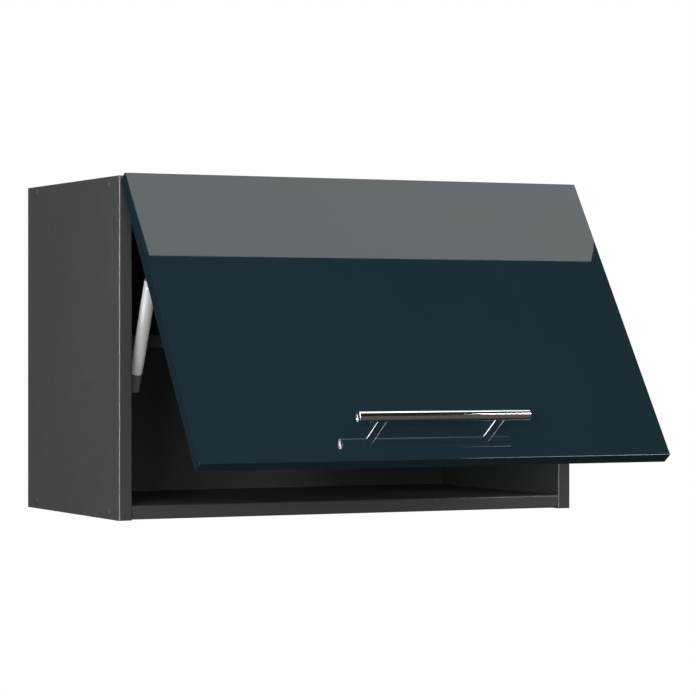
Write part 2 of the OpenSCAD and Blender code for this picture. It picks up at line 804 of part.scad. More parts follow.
module strut_mount(side) {
    color("silver") at_door() at_strut_mount(side) difference() {
        union() {
            block([mount_screw_x - 5, 0, -strut_mount_h / 2], [ear_x + bracket_t, bracket_t, strut_mount_h / 2]);
            block([ear_x, 0, -head_d / 2 - 1], [ear_x + bracket_t, head_reach, head_d / 2 + 1]);
            translate([0, head_reach, 0]) rod_x(head_d + 2, ear_x, ear_x + bracket_t);
        }
        translate([0, head_reach, 0]) rod_x(strut_pin_d + 2 * pin_play, ear_x - 1, ear_x + bracket_t + 1);
        for (step = [-1, 1]) translate([mount_screw_x, 0, step * strut_mount_pitch / 2])
            rod_y(bracket_screw_d + 2 * pin_play, -1, bracket_t + 1);
    }
}

module strut_mount_pins() {
    color("silver") at_door() for (side = sides) at_strut_mount(side) translate([0, head_reach, 0]) {
        rod_x(strut_pin_d, -fitting_x - 2, ear_x + bracket_t);
        rod_x(strut_pin_d + 3, -fitting_x - 2, -fitting_x - move_gap);
        rod_x(strut_pin_d + 4, fitting_x + move_gap, ear_x);
    }
}

module strut_mount_screws() {
    color("silver") at_door() for (side = sides, step = [-1, 1]) at_strut_mount(side)
        translate([mount_screw_x, bracket_t, step * strut_mount_pitch / 2]) rotate([-90, 0, 0])
            screw(2 * bracket_screw_d, bracket_screw_head_h, bracket_screw_d, bracket_t + bracket_screw_grip);
}

// --- door ---

// Side outline of the door: a rectangle whose two front corners are round
module door_outline() {
    low = [face_y, door_low_z];
    translate(low + [door_edge_r, 0]) square([door_t - door_edge_r, door_h]);
    translate(low + [0, door_edge_r]) square([door_t, door_h - 2 * door_edge_r]);
    for (z = [door_edge_r, door_h - door_edge_r]) translate(low + [door_edge_r, z]) circle(r = door_edge_r);
}

module door_panel() {
    color("darkslategray") at_door() difference() {
        translate([-door_w / 2, 0, 0]) rotate([90, 0, 90]) linear_extrude(height = door_w) door_outline();
        for (side = sides) {
            at_cup(side) {
                rod_y(cup_d + 2 * pin_play, axis_depth - cup_depth - pin_play, axis_depth + 1);
                for (step = [-1, 1]) translate([step * cup_pitch / 2, 0, -cup_screw_drop])
                    rod_y(bracket_screw_d + 2 * pin_play,
                        axis_depth - bracket_screw_grip - pin_play, axis_depth + 1);
            }
            for (step = [-1, 1]) at_strut_mount(side)
                translate([mount_screw_x, 0, step * strut_mount_pitch / 2])
                    rod_y(bracket_screw_d + 2 * pin_play, -bracket_screw_grip - pin_play, 1);
            translate([side * post_pitch / 2, 0, handle_z])
                rod_y(handle_screw_d + 2 * pin_play, face_y - 1, axis_depth + 1);
        }
    }
}

module handle_bar() {
    color("gainsboro") at_door() translate([0, bar_y, handle_z]) {
        rod_x(bar_d - 1, -bar_len / 2, bar_len / 2);
        rod_x(bar_d, 0.5 - bar_len / 2, bar_len / 2 - 0.5);
    }
}

module handle_posts() {
    color("gainsboro") at_door() for (side = sides) translate([side * post_pitch / 2, 0, handle_z])
        difference() {
            rod_y(post_d, bar_y, face_y);
            translate([0, bar_y, 0]) rod_x(bar_d, -post_d, post_d);
            rod_y(handle_screw_d + 2 * pin_play, face_y - handle_screw_grip - pin_play, face_y + 1);
        }
}

module handle_screws() {
    color("silver") at_door() for (side = sides)
        translate([side * post_pitch / 2, axis_depth, handle_z]) rotate([-90, 0, 0])
            screw(handle_head_d, handle_head_h, handle_screw_d, door_t + handle_screw_grip);
}

module door_bumpers() {
    color("whitesmoke") at_door() for (side = sides)
        translate([side * (half_w - board_t / 2), 0, bumper_z])
            rod_y(bumper_d, axis_depth, axis_depth + bumper_h);
}

side_panel(-1);  // side_panel_left
side_panel(1);  // side_panel_right
top_panel();
bottom_panel();
edge_bands();
back_panel();
back_nails();
shelf();
shelf_edge_band();
shelf_pins();
confirmat_screws();
screw_caps();
hanger_housing(-1);  // hanger_housing_left
hanger_housing(1);  // hanger_housing_right
hanger_hook(-1);  // hanger_hook_left
hanger_hook(1);  // hanger_hook_right
hanger_adjusters();
hanger_screws();
wall_plate(-1);  // wall_plate_left
wall_plate(1);  // wall_plate_right
hinge_plate(-1);  // hinge_plate_left
hinge_plate(1);  // hinge_plate_right
hinge_plate_screws();
hinge_arm(-1);  // hinge_arm_left
hinge_arm(1);  // hinge_arm_right
hinge_adjusters();
hinge_pins();
hinge_link(-1);  // hinge_link_left
hinge_link(1);  // hinge_link_right
hinge_cup(-1);  // hinge_cup_left
hinge_cup(1);  // hinge_cup_right
hinge_cup_screws();
strut_base(-1);  // strut_base_left
strut_base(1);  // strut_base_right
strut_base_studs();
strut_base_screws();
strut_foot(-1);  // strut_foot_left
strut_foot(1);  // strut_foot_right
strut_tube(-1);  // strut_tube_left
strut_tube(1);  // strut_tube_right
strut_collar(-1);  // strut_collar_left
strut_collar(1);  // strut_collar_right
strut_rod(-1);  // strut_rod_left
strut_rod(1);  // strut_rod_right
strut_head(-1);  // strut_head_left
strut_head(1);  // strut_head_right
strut_mount(-1);  // strut_mount_left
strut_mount(1);  // strut_mount_right
strut_mount_pins();
strut_mount_screws();
door_panel();
handle_bar();
handle_posts();
handle_screws();
door_bumpers();
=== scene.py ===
import json
import math

import bmesh
import bpy
from mathutils import Matrix, Vector

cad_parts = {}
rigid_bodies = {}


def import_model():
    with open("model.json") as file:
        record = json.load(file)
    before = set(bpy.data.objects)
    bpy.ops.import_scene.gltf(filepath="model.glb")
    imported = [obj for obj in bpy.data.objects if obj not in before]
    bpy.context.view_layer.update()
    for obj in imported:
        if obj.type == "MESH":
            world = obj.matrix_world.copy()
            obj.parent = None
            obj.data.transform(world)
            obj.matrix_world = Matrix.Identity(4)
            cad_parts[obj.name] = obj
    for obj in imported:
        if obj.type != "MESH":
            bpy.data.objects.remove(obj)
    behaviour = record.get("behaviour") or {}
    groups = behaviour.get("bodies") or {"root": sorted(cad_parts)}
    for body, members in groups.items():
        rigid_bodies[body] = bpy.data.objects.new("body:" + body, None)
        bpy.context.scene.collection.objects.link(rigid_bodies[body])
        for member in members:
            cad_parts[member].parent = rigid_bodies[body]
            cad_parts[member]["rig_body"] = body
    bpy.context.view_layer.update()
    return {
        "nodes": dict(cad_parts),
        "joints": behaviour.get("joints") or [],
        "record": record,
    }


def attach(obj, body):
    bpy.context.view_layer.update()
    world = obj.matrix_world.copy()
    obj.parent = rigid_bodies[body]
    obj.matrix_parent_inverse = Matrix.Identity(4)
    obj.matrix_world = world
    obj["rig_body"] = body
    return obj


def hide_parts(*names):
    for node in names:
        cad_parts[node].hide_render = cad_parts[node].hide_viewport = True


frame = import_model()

scene = bpy.context.scene
nodes = frame["nodes"]
sideNames = ("left", "right")
print("frame loaded:", len(nodes), "nodes")

# The door is drawn from its hinge axis: x across, y towards the wall and z up while it is closed.
lift = next(joint for joint in frame["joints"] if joint["name"] == "door_lift")
openAngle = -math.radians(lift["range_deg"][0])
doorPlace = Matrix.Translation(lift["pos_m"]) @ Matrix.Rotation(-openAngle, 4, "X")
doorInward = doorPlace.to_3x3() @ Vector((0, 1, 0))


def corners(points):
    low = Vector([min(point[axis] for point in points) for axis in range(3)])
    high = Vector([max(point[axis] for point in points) for axis in range(3)])
    return low, high


def localBox(nodeName, place=Matrix()):  # lowest and highest corner of a node, seen from another frame
    back = place.inverted()
    return corners([back @ vertex.co for vertex in nodes[nodeName].data.vertices])


doorLow, doorHigh = localBox("door_panel", doorPlace)


# Shaders
def addNode(tree, kind, inputs=None, **settings):
    node = tree.nodes.new(kind)
    for key, value in settings.items():
        setattr(node, key, value)
    for key, value in (inputs or {}).items():
        if isinstance(value, bpy.types.NodeSocket):
            tree.links.new(value, node.inputs[key])
        else:
            node.inputs[key].default_value = value
    return node


def newFinish(name, values):
    material = bpy.data.materials.new(name)
    material.use_nodes = True
    tree = material.node_tree
    shader = tree.nodes["Principled BSDF"]
    for key, value in values.items():
        shader.inputs[key].default_value = value
    return material, tree, shader


def objectPlace(tree, stretch=(1, 1, 1)):
    coords = addNode(tree, "ShaderNodeTexCoord")
    mapping = addNode(tree, "ShaderNodeMapping", {"Vector": coords.outputs["Object"], "Scale": stretch})
    return mapping.outputs["Vector"]


def noise(tree, place, scale, detail=3, roughness=0.6):
    node = addNode(tree, "ShaderNodeTexNoise", {
        "Vector": place, "Scale": scale, "Detail": detail, "Roughness": roughness})
    return node.outputs["Fac"]


def spread(tree, value, low, high, fromLow=0.3, fromHigh=0.7):
    node = addNode(tree, "ShaderNodeMapRange", {
        "Value": value, "From Min": fromLow, "From Max": fromHigh, "To Min": low, "To Max": high})
    return node.outputs["Result"]


def reckon(tree, operation, first, second):
    return addNode(tree, "ShaderNodeMath", {0: first, 1: second}, operation=operation).outputs[0]


def blendColours(tree, factor, first, second):
    node = addNode(tree, "ShaderNodeMix", data_type="RGBA")
    for index, value in ((0, factor), (6, first), (7, second)):  # the node's sockets for colours
        if isinstance(value, bpy.types.NodeSocket):
            tree.links.new(value, node.inputs[index])
        else:
            node.inputs[index].default_value = value
    return node.outputs[2]


def grain(tree, shader, height, strength, depth):
    bump = addNode(tree, "ShaderNodeBump", {"Height": height, "Strength": strength, "Distance": depth})
    tree.links.new(bump.outputs["Normal"], shader.inputs["Normal"])


def shade(colour, factor):
    return tuple(channel * factor for channel in colour[:3]) + (1,)


def clouded(tree, place, colour, scale, shades, detail=2):  # a colour that drifts between two shades
    cloud = spread(tree, noise(tree, place, scale, detail), 0, 1)
    return blendColours(tree, cloud, shade(colour, shades[0]), shade(colour, shades[1]))


def sheen(tree, shader, place, scale, roughness, detail=2):
    patches = noise(tree, place, scale, detail)
    tree.links.new(spread(tree, patches, *roughness), shader.inputs["Roughness"])


def depthAlong(tree, direction):  # distance along a direction, from the origin
    coords = addNode(tree, "ShaderNodeTexCoord")
    return addNode(tree, "ShaderNodeVectorMath", {0: coords.outputs["Object"], 1: direction},
                   operation="DOT_PRODUCT").outputs["Value"]


# Graphite foil, which covers the boards, the strips and the door's back
foil = {
    "graphite": (0.0620, 0.0665, 0.0650, 1),
    "cloudScale": 9, "cloudShades": (0.965, 1.035),
    "fibreScale": 620, "fibreRoughness": 0.7, "fibreShare": 0.35, "fibreShade": 0.88,
}


# A factor above 1 lightens the whole foil, which is painted light.
def graphiteFoil(tree, place, brightness=1):
    colour = shade(foil["graphite"], brightness)
    base = clouded(tree, place, colour, foil["cloudScale"], foil["cloudShades"])
    fibre = spread(tree, noise(tree, place, foil["fibreScale"], 3, foil["fibreRoughness"]), 0, 1)
    faint = reckon(tree, "MULTIPLY", fibre, foil["fibreShare"])
    return blendColours(tree, faint, base, shade(colour, foil["fibreShade"]))


board = {
    "specular": 0.4, "sheenScale": 60, "roughness": (0.44, 0.52),
    "grainScale": 1100, "grainRoughness": 0.7, "grainStrength": 0.12, "grainDepth": 0.0003,
    "rear": -0.0032,          # just before the y of the boards' rear ends
    "chipboard": (0.42, 0.29, 0.17, 1),
    "chipStretch": (1, 1, 3), "chipScale": 420, "chipRange": (0.35, 0.65), "chipShades": (0.55, 1.15),
}


def makeBoardFinish():
    material, tree, shader = newFinish("graphiteBoard", {"Specular IOR Level": board["specular"]})
    place = objectPlace(tree)
    # bare chipboard where a board ends at the back
    rear = reckon(tree, "GREATER_THAN", depthAlong(tree, (0, 1, 0)), board["rear"])
    chips = noise(tree, objectPlace(tree, board["chipStretch"]), board["chipScale"])
    dark, pale = (shade(board["chipboard"], factor) for factor in board["chipShades"])
    core = blendColours(tree, spread(tree, chips, 0, 1, *board["chipRange"]), dark, pale)
    surface = blendColours(tree, rear, graphiteFoil(tree, place), core)
    tree.links.new(surface, shader.inputs["Base Color"])
    sheen(tree, shader, place, board["sheenScale"], board["roughness"], 3)
    emboss = noise(tree, place, board["grainScale"], 3, board["grainRoughness"])
    grain(tree, shader, emboss, board["grainStrength"], board["grainDepth"])
    return material


strip = {
    # the strips wear the boards' foil a little lighter: painted light on the front edges
    "specular": 0.36, "brightness": 1.05, "sheenScale": 90, "roughness": (0.34, 0.38),
    "grainScale": 900, "grainStrength": 0.02, "grainDepth": 0.0002,
}


def makeStripFinish():
    material, tree, shader = newFinish("graphiteStrip", {"Specular IOR Level": strip["specular"]})
    place = objectPlace(tree)
    # the foil made a little lighter: painted light on the front edges
    tree.links.new(graphiteFoil(tree, place, strip["brightness"]), shader.inputs["Base Color"])
    sheen(tree, shader, place, strip["sheenScale"], strip["roughness"])
    emboss = noise(tree, place, strip["grainScale"], 2)
    grain(tree, shader, emboss, strip["grainStrength"], strip["grainDepth"])
    return material


hardboard = {
    "dark": (0.15, 0.085, 0.042, 1), "pale": (0.27, 0.17, 0.09, 1), "specular": 0.3,
    "fibreStretch": (1, 1, 0.35), "fibreScale": 700, "fibreDetail": 4, "fibreRoughness": 0.75,
    "cloudScale": 24, "cloudShare": 0.35, "cloudShade": 0.72,
    "rear": -0.0029,          # just behind the y of its inner face, which wears the foil
    # the inner face wears the graphite foil made lighter: painted light for the dim inside of the
    # cabinet
    "insideBrightness": 1.2,
    "roughness": (0.55, 0.8), "grainStrength": 0.25, "grainDepth": 0.0004,
}


def makeHardboardFinish():
    material, tree, shader = newFinish("hardboard", {"Specular IOR Level": hardboard["specular"]})
    place = objectPlace(tree)
    threads = noise(tree, objectPlace(tree, hardboard["fibreStretch"]), hardboard["fibreScale"],
                    hardboard["fibreDetail"], hardboard["fibreRoughness"])
    fibre = spread(tree, threads, 0, 1)
    cloud = spread(tree, noise(tree, place, hardboard["cloudScale"]), 0, hardboard["cloudShare"])
    brown = blendColours(tree, fibre, hardboard["dark"], hardboard["pale"])
    brown = blendColours(tree, cloud, brown, shade(hardboard["pale"], hardboard["cloudShade"]))
    # the inner face: the graphite foil lightened, which is painted light inside the cabinet
    inside = graphiteFoil(tree, place, hardboard["insideBrightness"])
    rear = reckon(tree, "GREATER_THAN", depthAlong(tree, (0, 1, 0)), hardboard["rear"])
    tree.links.new(blendColours(tree, rear, inside, brown), shader.inputs["Base Color"])
    tree.links.new(spread(tree, fibre, *hardboard["roughness"], 0, 1), shader.inputs["Roughness"])
    grain(tree, shader, fibre, hardboard["grainStrength"], hardboard["grainDepth"])
    return material


gloss = {
    "petrol": (0.0127, 0.0294, 0.0394, 1), "specular": 0.5,
    "cloudScale": 7, "cloudShades": (0.97, 1.03),
    "smearScale": 18, "roughness": (0.010, 0.022),
    "foilDepth": 0.0005,      # the back of the door wears the carcass's foil
    "foilRoughness": 0.42,    # how much rougher that foil is
}


def makeDoorFinish():
    material, tree, shader = newFinish("petrolGloss", {"Specular IOR Level": gloss["specular"]})
    place = objectPlace(tree)
    base = clouded(tree, place, gloss["petrol"], gloss["cloudScale"], gloss["cloudShades"])
    back = (doorPlace @ Vector((0, doorHigh.y - gloss["foilDepth"], 0))).dot(doorInward)
    isBack = reckon(tree, "GREATER_THAN", depthAlong(tree, doorInward), back)
    surface = blendColours(tree, isBack, base, graphiteFoil(tree, place))
    tree.links.new(surface, shader.inputs["Base Color"])
    smear = spread(tree, noise(tree, place, gloss["smearScale"]), *gloss["roughness"])
    rough = reckon(tree, "ADD", smear, reckon(tree, "MULTIPLY", isBack, gloss["foilRoughness"]))
    tree.links.new(rough, shader.inputs["Roughness"])
    return material


metal = {
    "cloudScale": 120, "cloudShades": (0.92, 1.05), "spangleShare": 0.3, "spangleShade": 0.7,
    "brushStretch": (30, 900, 900), "brushScale": 4, "grainDepth": 0.0002,
}


def makeMetal(name, colour, roughness, scratch, spangle=0):
    material, tree, shader = newFinish(name, {"Metallic": 1})
    place = objectPlace(tree)
    base = clouded(tree, place, colour, metal["cloudScale"], metal["cloudShades"], 3)
    if spangle:
        cells = addNode(tree, "ShaderNodeTexVoronoi", {"Vector": place, "Scale": spangle})
        tones = addNode(tree, "ShaderNodeSeparateColor", {"Color": cells.outputs["Color"]})
        fleck = reckon(tree, "MULTIPLY", tones.outputs["Red"], metal["spangleShare"])
        base = blendColours(tree, fleck, base, shade(colour, metal["spangleShade"]))
    tree.links.new(base, shader.inputs["Base Color"])
    brushed = noise(tree, objectPlace(tree, metal["brushStretch"]), metal["brushScale"])
    tree.links.new(spread(tree, brushed, *roughness), shader.inputs["Roughness"])
    grain(tree, shader, brushed, scratch, metal["grainDepth"])
    return material


plastic = {
    "specular": 0.45, "cloudScale": 45, "cloudShades": (0.94, 1.05),
    "sheenScale": 160, "sheenSpread": 0.05,
    "grainScale": 700, "grainStrength": 0.15, "grainDepth": 0.0003,
}


def makePlastic(name, colour, roughness):
    material, tree, shader = newFinish(name, {"Specular IOR Level": plastic["specular"]})
    place = objectPlace(tree)
    base = clouded(tree, place, colour, plastic["cloudScale"], plastic["cloudShades"])
    tree.links.new(base, shader.inputs["Base Color"])
    margin = plastic["sheenSpread"]
    sheen(tree, shader, place, plastic["sheenScale"], (roughness - margin, roughness + margin))
    texture = noise(tree, place, plastic["grainScale"], 2)
    grain(tree, shader, texture, plastic["grainStrength"], plastic["grainDepth"])
    return material


tubePaint = {
    "coat": 0.4, "coatRoughness": 0.1,
    "white": (1, 1, 1, 1), "fleckScale": 1600, "fleckShades": (0.90, 0.97),
    "sheenScale": 200, "roughness": (0.30, 0.36),
    "grainScale": 500, "grainStrength": 0.03, "grainDepth": 0.0002,
}


def makeTubePaint():
    material, tree, shader = newFinish("tubePaint", {
        "Coat Weight": tubePaint["coat"], "Coat Roughness": tubePaint["coatRoughness"]})
    place = objectPlace(tree)
    base = clouded(tree, place, tubePaint["white"], tubePaint["fleckScale"], tubePaint["fleckShades"])
    tree.links.new(base, shader.inputs["Base Color"])
    sheen(tree, shader, place, tubePaint["sheenScale"], tubePaint["roughness"])
    peel = noise(tree, place, tubePaint["grainScale"], 2)
    grain(tree, shader, peel, tubePaint["grainStrength"], tubePaint["grainDepth"])
    return material


finishes = {
    "carcass_board": makeBoardFinish(),
    "edge_strip": makeStripFinish(),
    "hardboard": makeHardboardFinish(),
    "door_gloss": makeDoorFinish(),
    "handle_chrome": makeMetal("handleChrome", (0.74, 0.73, 0.74, 1), (0.05, 0.05), scratch=0),
    "rod_chrome": makeMetal("rodChrome", (0.82, 0.82, 0.82, 1), (0.05, 0.1), scratch=0.02),
    "zinc_steel": makeMetal("zincSteel", (0.62, 0.63, 0.64, 1), (0.28, 0.42), scratch=0.08, spangle=260),
    "hinge_steel": makeMetal("nickelSteel", (0.60, 0.58, 0.55, 1), (0.2, 0.32), scratch=0.06),
    "bracket_steel": makeMetal("bracketSteel", (0.58, 0.58, 0.58, 1), (0.26, 0.38), scratch=0.08),
    "cap_plastic": makePlastic("capPlastic", shade(foil["graphite"], 0.86), roughness=0.46),
    "hanger_plastic": makePlastic("hangerPlastic", (0.60, 0.60, 0.57, 1), roughness=0.42),
    "fitting_plastic": makePlastic("fittingPlastic", (0.16, 0.165, 0.165, 1), roughness=0.4),
    "tube_paint": makeTubePaint(),
    "bumper_rubber": makePlastic("bumperRubber", (0.55, 0.56, 0.56, 1), roughness=0.35),
}
slotOf = {row["node"]: row["material_slot"] for row in frame["record"]["subparts"]}
bodyOf = {nodeName: cadObject["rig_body"] for nodeName, cadObject in nodes.items()}
for nodeName, cadObject in nodes.items():
    cadObject.data.materials.clear()
    cadObject.data.materials.append(finishes[slotOf[nodeName]])
print("finishes assigned:", len(finishes))

# Mesh making
turnToX = Matrix.Rotation(math.radians(90), 4, "Y")   # from z to x
turnToY = Matrix.Rotation(math.radians(-90), 4, "X")  # from z to y
creases = {"softened": 30, "fixing": 35, "turned": 40, "rounded": 50}  # degrees that still shade softly
meshing = {
    "mergeGap": 0.000004,     # points closer than this become one
    "flatBend": 0.5,          # in degrees: faces that bend less are joined
    "bevelBend": 40,          # in degrees: edges that bend more are rounded
    "boxBend": 60,            # in degrees: less than the corners of a box
    "nearly": 0.000001,       # places closer than this count as equal
    "frontSegments": 6,
}


def newObject(name, mesh):
    made = bpy.data.objects.new(name, mesh)
    scene.collection.objects.link(made)
    return made


def toMesh(name, shape):
    mesh = bpy.data.meshes.new(name)
    shape.to_mesh(mesh)
    shape.free()
    return mesh


def bake(piece):  # the modifiers' result becomes the piece's own plain mesh
    graph = bpy.context.evaluated_depsgraph_get()
    mesh = bpy.data.meshes.new_from_object(piece.evaluated_get(graph))
    piece.modifiers.clear()
    old = piece.data
    piece.data = mesh
    bpy.data.meshes.remove(old)


def smooth(piece, crease):  # soft shading with the broad faces kept flat
    for polygon in piece.data.polygons:
        polygon.use_smooth = True
    piece.data.set_sharp_from_angle(angle=math.radians(crease))
    weighted = piece.modifiers.new("flatFaces", "WEIGHTED_NORMAL")
    weighted.keep_sharp = True
    weighted.weight = 100
    bake(piece)


def soften(piece, width, segments):
    bevel = piece.modifiers.new("arris", "BEVEL")
    bevel.width = width
    bevel.segments = segments
    bevel.limit_method = "ANGLE"
    bevel.angle_limit = math.radians(meshing["bevelBend"])
    bake(piece)


def finishPiece(piece, *replaced):  # body and finish come from the nodes that the piece stands for
    slotName = slotOf[replaced[0]]
    piece.data.materials.clear()
    piece.data.materials.append(finishes[slotName])
    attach(piece, bodyOf[replaced[0]])
    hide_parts(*replaced)


def pieceName(nodeName):
    words = nodeName.split("_")
    return words[0] + "".join(word.capitalize() for word in words[1:])


def mergedCopy(nodeName):
    shape = bmesh.new()
    shape.from_mesh(nodes[nodeName].data)
    bmesh.ops.remove_doubles(shape, verts=shape.verts, dist=meshing["mergeGap"])
    bmesh.ops.dissolve_limit(shape, angle_limit=math.radians(meshing["flatBend"]),
                             verts=shape.verts, edges=shape.edges)
    return shape


def softenedCopy(nodeName, width, segments=2):  # the CAD solid with its edges broken
    piece = newObject(pieceName(nodeName), toMesh(nodeName, mergedCopy(nodeName)))
    soften(piece, width, segments)
    smooth(piece, creases["softened"])
    finishPiece(piece, nodeName)


def looseParts(nodeName):  # the points of each separate solid in a node
    shape = bmesh.new()
    shape.from_mesh(nodes[nodeName].data)
    bmesh.ops.remove_doubles(shape, verts=shape.verts, dist=meshing["mergeGap"])
    waiting = set(shape.verts)
    parts = []
    for first in shape.verts:  # in the mesh's own order, which is the same in each run
        if first not in waiting:
            continue
        waiting.remove(first)
        edge = [first]
        part = []
        while edge:
            vertex = edge.pop()
            part.append(vertex.co.copy())
            for link in vertex.link_edges:
                other = link.other_vert(vertex)
                if other in waiting:
                    waiting.remove(other)
                    edge.append(other)
        parts.append(part)
    shape.free()
    return parts


def joined(name, shapes):  # one mesh of several shapes
    whole = bmesh.new()
    for shape in shapes:
        mesh = toMesh(name, shape)
        whole.from_mesh(mesh)
        bpy.data.meshes.remove(mesh)
    return toMesh(name, whole)


def boxShape(low, high):
    shape = bmesh.new()
    bmesh.ops.create_cube(shape, size=1)
    for vertex in shape.verts:
        for axis in range(3):
            vertex.co[axis] = high[axis] if vertex.co[axis] > 0 else low[axis]
    return shape


def roundFront(shape, low, frontRadius, otherRadius):  # the lowest y is the front
    front = [edge for edge in shape.edges
             if all(abs(vertex.co.y - low.y) < meshing["nearly"] for vertex in edge.verts)]
    bmesh.ops.bevel(shape, geom=front, offset=frontRadius, segments=meshing["frontSegments"],
                    affect="EDGES", profile=0.5)
    sharp = [edge for edge in shape.edges if len(edge.link_faces) == 2
             and edge.calc_face_angle() > math.radians(meshing["boxBend"])]
    bmesh.ops.bevel(shape, geom=sharp, offset=otherRadius, segments=2, affect="EDGES", profile=0.5)


def turned(outline, steps):  # turned round z, from an outline of radius and height that meets the axis
    shape = bmesh.new()
    rings = []
    for radius, height in outline:
        if radius < meshing["nearly"]:
            rings.append([shape.verts.new((0, 0, height))])
        else:
            rings.append([shape.verts.new((radius * math.cos(turn), radius * math.sin(turn), height))
                          for turn in (2 * math.pi * i / steps for i in range(steps))])
    for upper, lower in zip(rings, rings[1:]):
        for i in range(steps):
            quad = [upper[i % len(upper)], upper[(i + 1) % len(upper)],
                    lower[(i + 1) % len(lower)], lower[i % len(lower)]]
            unique = list(dict.fromkeys(quad))
            if len(unique) > 2:
                shape.faces.new(unique)
    bmesh.ops.recalc_face_normals(shape, faces=shape.faces)
    return shape


def arc(middle, radius, start, end, count=6):  # points of a round stretch, angles in degrees
    turns = [math.radians(start + (end - start) * i / count) for i in range(count + 1)]
    return [(middle[0] + radius * math.cos(turn), middle[1] + radius * math.sin(turn))
            for turn in turns]


def cut(piece, tool):
    boolean = piece.modifiers.new("cut", "BOOLEAN")
    boolean.operation = "DIFFERENCE"
    boolean.solver = "EXACT"
    boolean.use_self = True
    boolean.object = tool
    bake(piece)
    bpy.data.objects.remove(tool)


def placed(shape, place):
    shape.transform(place)
    return shape


# Boards
boards = {"arris": 0.0002, "names": ("side_panel_left", "side_panel_right", "top_panel", "bottom_panel",
                                     "shelf", "back_panel")}
for nodeName in boards["names"]:
    softenedCopy(nodeName, boards["arris"], 1)

# Edge strips: boxes whose front edges are rounded over
strips = {"round": 0.0019, "arris": 0.0001}


def stripShape(part):
    low, high = corners(part)
    shape = boxShape(low, high)
    roundFront(shape, low, strips["round"], strips["arris"])
    return shape


for nodeName in ("edge_bands", "shelf_edge_band"):
    mesh = joined(nodeName, [stripShape(part) for part in looseParts(nodeName)])
    piece = newObject(pieceName(nodeName), mesh)
    smooth(piece, creases["rounded"])
    finishPiece(piece, nodeName)
print("carcass made")


# Fixings: one template each, set out by Geometry Nodes
def makePlacingTree():
    tree = bpy.data.node_groups.new("placeFixings", "GeometryNodeTree")
    sockets = (("Points", "INPUT", "NodeSocketGeometry"), ("Template", "INPUT", "NodeSocketObject"),
               ("Size", "INPUT", "NodeSocketVector"),  # share of the template's own width and length
               ("Turn Spread", "INPUT", "NodeSocketFloat"), ("Seed", "INPUT", "NodeSocketInt"),
               ("Finish", "INPUT", "NodeSocketMaterial"), ("Fixings", "OUTPUT", "NodeSocketGeometry"))
    for name, way, kind in sockets:
        tree.interface.new_socket(name, in_out=way, socket_type=kind)
    given = addNode(tree, "NodeGroupInput").outputs
    aim = addNode(tree, "GeometryNodeInputNamedAttribute", {"Name": "aim"}, data_type="FLOAT_VECTOR")
    upright = addNode(tree, "FunctionNodeAlignRotationToVector", {
        "Vector": aim.outputs["Attribute"]}, axis="Z")
    least = addNode(tree, "ShaderNodeMath", {0: given["Turn Spread"], 1: -1.0}, operation="MULTIPLY")
    turn = addNode(tree, "FunctionNodeRandomValue", {
        "Min": least.outputs[0], "Max": given["Turn Spread"], "Seed": given["Seed"]}, data_type="FLOAT")
    spin = addNode(tree, "FunctionNodeAxisAngleToRotation", {
        "Axis": (0, 0, 1), "Angle": turn.outputs["Value"]})
    rotation = addNode(tree, "FunctionNodeRotateRotation", {
        "Rotation": upright.outputs[0], "Rotate By": spin.outputs[0]}, rotation_space="LOCAL")
    template = addNode(tree, "GeometryNodeObjectInfo", {"Object": given["Template"]})
    points = addNode(tree, "GeometryNodeMeshToPoints", {"Mesh": given["Points"]})
    copies = addNode(tree, "GeometryNodeInstanceOnPoints", {
        "Points": points.outputs[0], "Instance": template.outputs["Geometry"],
        "Rotation": rotation.outputs[0], "Scale": given["Size"]})
    real = addNode(tree, "GeometryNodeRealizeInstances", {"Geometry": copies.outputs[0]})
    coated = addNode(tree, "GeometryNodeSetMaterial", {
        "Geometry": real.outputs[0], "Material": given["Finish"]})
    addNode(tree, "NodeGroupOutput", {"Fixings": coated.outputs[0]})
    return tree


placingTree = makePlacingTree()
inputNames = {item.name: item.identifier for item in placingTree.interface.items_tree
              if item.in_out == "INPUT"}


# Where the solid ends on its aimed side, how long it is along the aim and how wide across it
def measureAlong(points, aim):
    heights = [point.dot(aim) for point in points]
    low, high = corners(points)
    centre = (low + high) / 2
    top = centre + (max(heights) - centre.dot(aim)) * aim
    width = 2 * max(((point - centre) - (point - centre).dot(aim) * aim).length for point in points)
    return top, max(heights) - min(heights), width


def placeFixings(nodeName, aimOf, makeTemplate):
    places = []
    for part in looseParts(nodeName):
        low, high = corners(part)
        aim = Vector(aimOf((low + high) / 2)).normalized()
        top, length, width = measureAlong(part, aim)
        places.append((top, aim))
    mesh = bpy.data.meshes.new(nodeName)
    mesh.from_pydata([top for top, aim in places], [], [])
    attribute = mesh.attributes.new("aim", "FLOAT_VECTOR", "POINT")
    for i, (top, aim) in enumerate(places):
        attribute.data[i].vector = aim
    piece = newObject(pieceName(nodeName), mesh)
    template = makeTemplate(length, width)
    smooth(template, creases["fixing"])
    modifier = piece.modifiers.new("placeFixings", "NODES")
    modifier.node_group = placingTree
    for name, value in (("Template", template), ("Size", (1.0, 1.0, 1.0)), ("Turn Spread", math.pi),
                        ("Seed", len(nodeName)), ("Finish", finishes[slotOf[nodeName]])):
        modifier[inputNames[name]] = value
    bake(piece)
    bpy.data.objects.remove(template)
    finishPiece(piece, nodeName)
    return len(places)


def toward(x, y, z):
    return lambda centre: (x, y, z)


def inward(centre):  # from the side panel towards the cabinet's middle
    return (-math.copysign(1, centre.x), 0, 0)


def outward(centre):
    return (math.copysign(1, centre.x), 0, 0)


# Every template has its top at zero height. Rows of pairs are shares of a width and of a length.
def sized(shares, width, length):
    return [(width * across, -length * down) for across, down in shares]


def turnedTemplate(name, outline, steps):
    return newObject(name, toMesh(name, turned(outline, steps)))


cross = {
    "slimness": 9,            # the recess is that many times as long as half a wing is thick
    "lengthBelow": 0.45,      # shares that are left of a wing at its bottom
    "thicknessBelow": 0.7,
}


